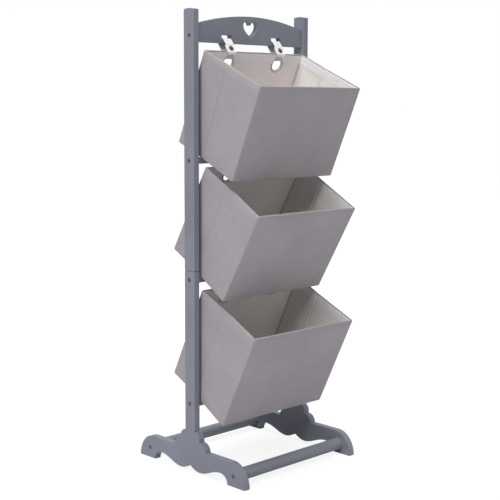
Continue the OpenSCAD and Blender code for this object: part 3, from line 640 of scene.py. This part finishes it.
# Painted shade: the webbing that bears in the eyelet's bore is darkened grey
rubbing_and_shade = add_node(tree, "Attribute", attribute_name="rubbing_and_shade", attribute_type="GEOMETRY")
bore_shade = add_node(tree, "MapRange", {"To Min": 1.0, "To Max": 0.62},
                  {"Value": rubbing_and_shade.outputs["Fac"]})
mixed = add_node(tree, "VectorMath", {}, {0: tape, 1: bore_shade.outputs["Result"]},
                 operation="MULTIPLY")
tree.links.new(mixed.outputs["Vector"], shader.inputs["Base Color"])
bump = add_node(tree, "Bump", {"Strength": 0.7, "Distance": 0.0003}, {"Height": woven.outputs[0]})
tree.links.new(bump.outputs["Normal"], shader.inputs["Normal"])

row_y = 0.0115348        # from the middle of the feet to the middle of the whole rack
# Front, back, underside and top of the bar that each pair of straps is wrapped round
bars = ((row_y - 0.010, row_y + 0.004, 0.957, 0.966),
        (row_y - 0.010, row_y + 0.010, 0.6945, 0.7085),
        (row_y - 0.010, row_y + 0.010, 0.431, 0.445))
bar_round = (0.0, 0.002, 0.002)
strap_w, strap_t = 0.024, 0.0015
layer = 0.0017           # from the middle of one layer to the middle of the next
seat = 0.0011            # from a bar or ring to the middle of the strap that lies on it
eyelet_bore, roll = 0.0135, 0.0032     # radii of the ring's opening and of its rolled edge
bearing_half = 0.008     # half the width over which the strap bears in the bore
bear_rise = math.sqrt(eyelet_bore ** 2 - bearing_half ** 2)
overlap, stud_drop, stud_half = 0.019, 0.0095, 0.003
pleat_depth, pleats = 0.0024, 2
across_steps, station_pitch = 18, 0.002
follow_up = 0.2          # share of the ring's curve that the middle of the strap rises with
ring_play, off_rim = 0.0003, 0.0016    # from the ring to the strap, and from the rim to it
tail_out, tail_drop = 0.0102, 0.0022   # the tail's end, from the basket's back and its rim


def on_basket(i, out, down):
    """A point of the YZ plane, by its distance out from a basket's back and down from its rim."""
    s, c = math.sin(tilt[i]), math.cos(tilt[i])
    return Vector((rim_place[i][0] - out * c + down * s, rim_place[i][1] - out * s - down * c))


def turn(centre, radius, first, last, steps):
    """Points on a circle of the YZ plane, from one angle to another in degrees."""
    angles = [math.radians(first + (last - first) * k / steps) for k in range(steps + 1)]
    return [centre + Vector((math.cos(a), math.sin(a))) * radius for a in angles]


def strap_route(i):
    """Stations of a strap: place in YZ, width, shift to the right, pleating, hold in the bore."""
    front, back, below, above = bars[i]
    r = bar_round[i]
    bend = r + seat
    rear_low = turn(Vector((back - r, below + r)), bend, -45, 0, 4)
    rear_top = turn(Vector((back - r, above - r)), bend, 0, 90, 4)
    front_top = turn(Vector((front + r, above - r)), bend, 90, 180, 4)
    pivot = on_basket(i, wall / 2, eyelet_drop - bear_rise - roll)
    at_rim = on_basket(i, wall / 2 + roll + ring_play + off_rim, -off_rim)
    upward = (front_top[3] - at_rim).normalized()
    outward = Vector((-upward.y, upward.x))
    lean = math.degrees(tilt[i])
    bore = turn(pivot, roll + seat, 180 + lean, 315 + lean, 8)
    leg = [bore[-1].lerp(rear_low[0], share) for share in (0.2, 0.4, 0.6, 0.8)]
    # The inner end, narrowing as it runs down into the eyelet
    stations = [(at_rim + upward * overlap, 0.0225, -0.0012, 0.0, 0.0),
                (at_rim + upward * (overlap - 0.004), 0.0225, -0.0012, 0.0, 0.0),
                (at_rim + upward * stud_drop, 0.0212, -0.0018, 0.0, 0.0),
                (at_rim + upward * 0.004, 0.0190, -0.0026, 0.0, 0.0),
                (at_rim, 0.0176, -0.0026, 0.1, 0.1),
                (at_rim.lerp(bore[0], 0.5), 0.0162, -0.0014, 0.2, 0.6)]
    stations += [(point, 0.0150, -0.0005, 0.2, 1.0) for point in bore]
    # The leg behind the basket spreads out again on its way up to the bar
    stations += [(leg[0], 0.0165, -0.0005, 0.2, 0.6), (leg[1], 0.0186, -0.0004, 0.12, 0.25),
                 (leg[2], 0.0206, -0.0003, 0.06, 0.05), (leg[3], 0.0222, -0.0001, 0.0, 0.0)]
    stations += [(point, 0.0235, 0.0, 0.0, 0.0) for point in rear_low + rear_top + front_top[:4]]
    # The tail leaves the bar and lies over the inner layer as far as the stud, then hangs free
    stud = at_rim + upward * stud_drop + outward * layer
    stations += [(front_top[3].lerp(stud, 0.5) + outward * 0.0012, 0.0232, 0.0004, 0.0, 0.0),
                 (stud + upward * stud_half, 0.023, 0.0008, 0.0, 0.0),
                 (stud, 0.023, 0.001, 0.0, 0.0),
                 (stud - upward * stud_half, 0.023, 0.0012, 0.0, 0.0),
                 (at_rim + outward * (layer + 0.0006), 0.0222, 0.0015, 0.0, 0.0),
                 (on_basket(i, tail_out, tail_drop), 0.0218, 0.0018, 0.0, 0.0)]
    return stations


def strap(i, side):
    """One strap: a strip of cloth laid along its route and then given its thickness."""
    coarse = strap_route(i)
    # Stations no more than about 2 mm apart, so that the weave and the bends come out smooth
    route = []
    for here, after in zip(coarse, coarse[1:]):
        steps = max(1, round((after[0] - here[0]).length / station_pitch))
        for k in range(steps):
            share = k / steps
            route.append((here[0].lerp(after[0], share),
                          *[a + (b - a) * share for a, b in zip(here[1:], after[1:])]))
    route.append(coarse[-1])
    bpy.ops.object.select_all(action="DESELECT")
    bpy.ops.mesh.primitive_grid_add(x_subdivisions=across_steps, y_subdivisions=len(route) - 1,
                                    size=2)
    piece = bpy.context.object
    side_name = "left" if side < 0 else "right"
    piece.name = piece.data.name = "%s_%s_webbing_strap" % (basket_names[i], side_name)
    mesh = piece.data
    lean = Vector((-math.sin(tilt[i]), math.cos(tilt[i])))
    run = [0.0]
    for here, after in zip(route, route[1:]):
        run.append(run[-1] + (after[0] - here[0]).length)
    uv_of = {}
    rubbing_and_shade = mesh.attributes.new("rubbing_and_shade", "FLOAT", "POINT")
    for v in mesh.vertices:
        u = v.co.x
        k = round((v.co.y + 1) / 2 * (len(route) - 1))
        place, width, aside, gathered, held = route[k]
        along = (route[min(k + 1, len(route) - 1)][0] - route[max(k - 1, 0)][0]).normalized()
        away = Vector((along.y, -along.x))
        x = aside + u * width / 2
        pleat = pleat_depth * gathered * (1 - math.cos(2 * math.pi * pleats * (u + 1) / 2)) / 2
        # Across the bore the strap lies nearly straight, and bends down with the ring at its edges
        above = math.sqrt(max(0.0, eyelet_bore ** 2 - x ** 2)) - bear_rise
        rise = held * (min(0.0, above) + follow_up * max(0.0, above))
        lies = place + away * pleat + lean * rise
        v.co = (side * eyelet_x + x, lies.x, lies.y)
        uv_of[v.index] = (u * strap_w / 2, run[k])
        # Painted shade, strongest where the webbing is held in the bore
        rubbing_and_shade.data[v.index].value = min(1.0, held * 1.6)
    layer_uv = mesh.uv_layers.get("webbing") or mesh.uv_layers.new(name="webbing")
    for corner in mesh.loops:
        layer_uv.data[corner.index].uv = uv_of[corner.vertex_index]
    finish_with(piece, "SOLIDIFY", thickness=strap_t, offset=0)
    finish_with(piece, "BEVEL", width=0.0004, segments=2, limit_method="ANGLE",
                angle_limit=math.radians(60))
    bpy.ops.object.mode_set(mode="EDIT")
    bpy.ops.mesh.select_all(action="SELECT")
    bpy.ops.mesh.normals_make_consistent(inside=False)
    bpy.ops.object.mode_set(mode="OBJECT")
    bpy.ops.object.shade_smooth_by_angle(angle=math.radians(55))
    coat(piece, webbing)
    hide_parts(basket_names[i] + "_straps")
    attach(piece, "rack")


for i in range(3):
    for side in (-1, 1):
        strap(i, side)


# ---- Camera, light and floor -------------------------------------------------------------
# The camera stands where the photograph was taken from. Three broad soft boxes, overhead, on the
# left and in front, light the rack plainly in a white room; the floor keeps a faint shadow.

focal_px, frame_px, sensor_mm = 1096.43, 500, 36.0
camera_place = (-1.7519, -1.7985, 0.8249)
yaw, pitch, roll_angle = (math.radians(a) for a in (45.824, 7.592, 0.202))

camera = bpy.data.objects.new("camera", bpy.data.cameras.new("camera"))
bpy.context.collection.objects.link(camera)
camera.data.sensor_width = sensor_mm
camera.data.lens = focal_px * sensor_mm / frame_px
camera.data.clip_end = 50
ahead = Vector((math.cos(yaw) * math.cos(pitch), math.sin(yaw) * math.cos(pitch),
                -math.sin(pitch)))
right = ahead.cross(Vector((0, 0, 1))).normalized()
up = right.cross(ahead)
turned_right = right * math.cos(roll_angle) + up * math.sin(roll_angle)
turned_up = up * math.cos(roll_angle) - right * math.sin(roll_angle)
camera.matrix_world = Matrix.Translation(camera_place) @ Matrix(
    (turned_right, turned_up, -ahead)).transposed().to_4x4()
bpy.context.scene.camera = camera

# A dim, faintly blue room lights the rack, but the camera and the gloss see a white one
world = bpy.data.worlds.new("white_room")
bpy.context.scene.world = world
world.use_nodes = True
tree = world.node_tree
backdrop = tree.nodes["Background"]
room = add_node(tree, "Background", {"Color": (0.95, 0.97, 1.0, 1.0), "Strength": 0.15})
backdrop.inputs["Color"].default_value = (1, 1, 1, 1)
backdrop.inputs["Strength"].default_value = 1.0
rays = add_node(tree, "LightPath")
seen = add_node(tree, "Math", {}, {0: rays.outputs["Is Camera Ray"],
                                   1: rays.outputs["Is Glossy Ray"]}, operation="MAXIMUM")
mixed = add_node(tree, "MixShader", {}, {"Fac": seen.outputs[0], 1: room.outputs[0],
                                         2: backdrop.outputs[0]})
tree.links.new(mixed.outputs[0], tree.nodes["World Output"].inputs["Surface"])

target = Vector((0, 0, 0.5))
lamp_distance, lamp_size = 6.0, 3.2
for name, direction, watts in (("soft_box_overhead", (0.0, 0.0, 1.0), 300),
                               ("soft_box_left", (-0.75, -0.24, 0.62), 214),
                               ("soft_box_front", (-0.1, -0.98, 0.18), 28)):
    lamp = bpy.data.objects.new(name, bpy.data.lights.new(name, "AREA"))
    bpy.context.collection.objects.link(lamp)
    lamp.data.shape = "DISK"
    lamp.data.size = lamp_size
    lamp.data.energy = watts
    lamp.location = target + Vector(direction).normalized() * lamp_distance
    lamp.rotation_euler = (target - lamp.location).to_track_quat("-Z", "Y").to_euler()

bpy.ops.object.select_all(action="DESELECT")
bpy.ops.mesh.primitive_plane_add(size=14, location=(0, 0, -0.0005))
floor = bpy.context.object
floor.name = "floor"
# Matt white vinyl: seen as the white of the backdrop, with only part of the shadow on it, and
# none further out, so that no horizon shows
floor_white, tree, shader = new_material("matt_white_floor", "#E6E6E7", 0.9)
floor.data.materials.append(floor_white)
rays = add_node(tree, "LightPath")
away = add_node(tree, "VectorMath", {}, {0: add_node(tree, "TexCoord").outputs["Object"]},
                operation="LENGTH")
whiter = add_node(tree, "MapRange",
                  {"From Min": 0.6, "From Max": 1.6, "To Min": 0.88, "To Max": 1.0},
                  {"Value": away.outputs["Value"]})
glow = add_node(tree, "Emission", {"Color": (1, 1, 1, 1)}, {"Strength": whiter.outputs["Result"]})
pale = add_node(tree, "BsdfDiffuse", {"Color": (0.15, 0.15, 0.15, 1.0)})
lit = add_node(tree, "AddShader", {}, {0: pale.outputs[0], 1: glow.outputs[0]})
seen = add_node(tree, "MixShader", {}, {"Fac": rays.outputs["Is Camera Ray"],
                                        1: shader.outputs[0], 2: lit.outputs[0]})
tree.links.new(seen.outputs[0], tree.nodes["Material Output"].inputs["Surface"])

bpy.context.scene.view_settings.view_transform = "Standard"
